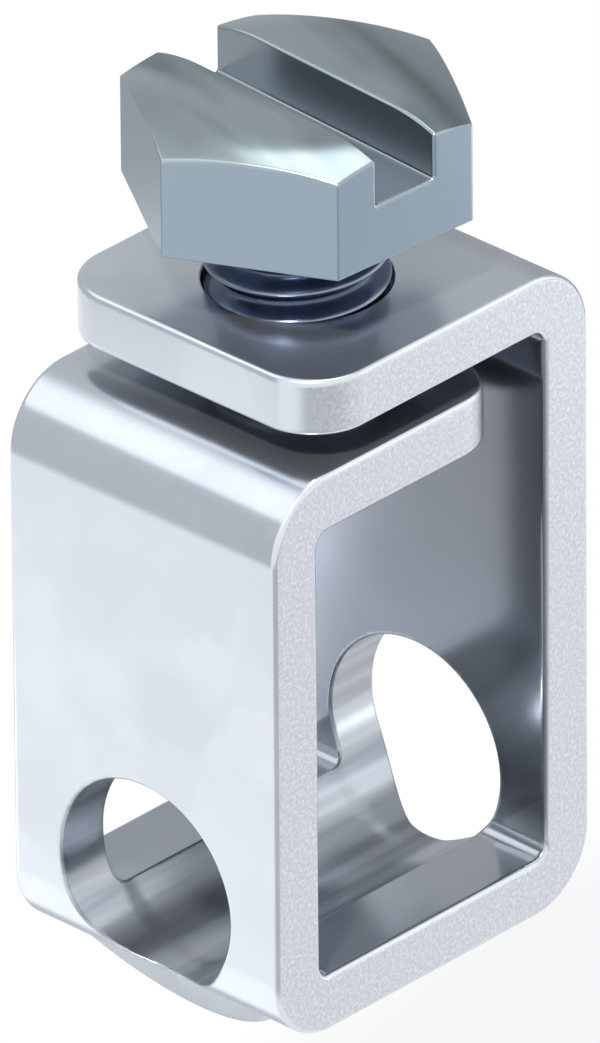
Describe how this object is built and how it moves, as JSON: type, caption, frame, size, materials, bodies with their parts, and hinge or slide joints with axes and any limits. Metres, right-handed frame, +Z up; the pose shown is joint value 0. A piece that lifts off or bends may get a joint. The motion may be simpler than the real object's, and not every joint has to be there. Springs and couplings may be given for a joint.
{
  "type": "terminal block clamp",
  "caption": "Box clamp bent from a galvanised steel strip, closed by a slotted hexagon screw, that grips a flat bar and a round wire.",
  "frame": {"origin": "on the screw's axis, halfway up the clear space that the flat bar passes through, between the loop's floor and the lower lap", "axes": "+X along the wire, from the wall that carries the lower lap to the wall that carries the top lap; +Y along the flat bar, across the strip; +Z up the screw, towards its head"},
  "size_m": [0.0144, 0.0116, 0.0315],
  "materials": {
    "galvanised_steel": "galvanised strip, pale with a soft cloudy spangle, satin",
    "zinc_plated_steel": "bright zinc plating with a blue passivation, semi-gloss"
  },
  "bodies": {
    "clamp_body": {"clamp_body": "galvanised_steel"},
    "clamp_screw": {"clamp_screw": "zinc_plated_steel"}
  },
  "joints": [
    {"name": "screw_travel", "type": "slide", "parent": "clamp_body", "child": "clamp_screw", "axis": [0, 0, -1], "range_m": [-0.0071, 0.0028]}
  ]
}
